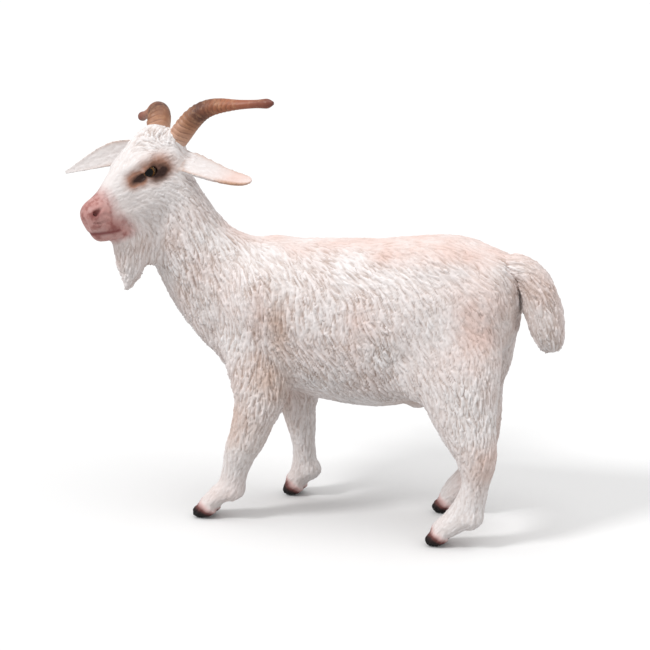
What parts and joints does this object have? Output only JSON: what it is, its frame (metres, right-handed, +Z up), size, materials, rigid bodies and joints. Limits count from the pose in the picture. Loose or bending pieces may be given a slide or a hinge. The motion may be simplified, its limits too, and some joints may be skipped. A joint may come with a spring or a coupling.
{
  "type": "billy goat figurine",
  "caption": "Moulded vinyl figurine of a white bearded billy goat, standing with its head turned to its left, swept-back horns, drooping ears and dark hooves.",
  "frame": {"origin": "on the floor, at the middle of the figurine's outline seen from above", "axes": "+Z up, the goat looks towards -Y with its rump towards +Y, and its left side is on +X"},
  "size_m": [0.0354, 0.101, 0.0814],
  "materials": {
    "coat": "white painted vinyl carved as fur, with a pink-beige wash in the recesses",
    "horn": "tan to red-brown painted vinyl with ridges",
    "eye": "glossy painted eye, dark brown with a black pupil"
  },
  "bodies": {
    "root": {"torso": "coat", "head": "coat", "horn_left": "horn", "horn_right": "horn", "ear_left": "coat", "ear_right": "coat", "tail": "coat", "foreleg_left": "coat", "foreleg_right": "coat", "hindleg_left": "coat", "hindleg_right": "coat"}
  },
  "joints": []
}
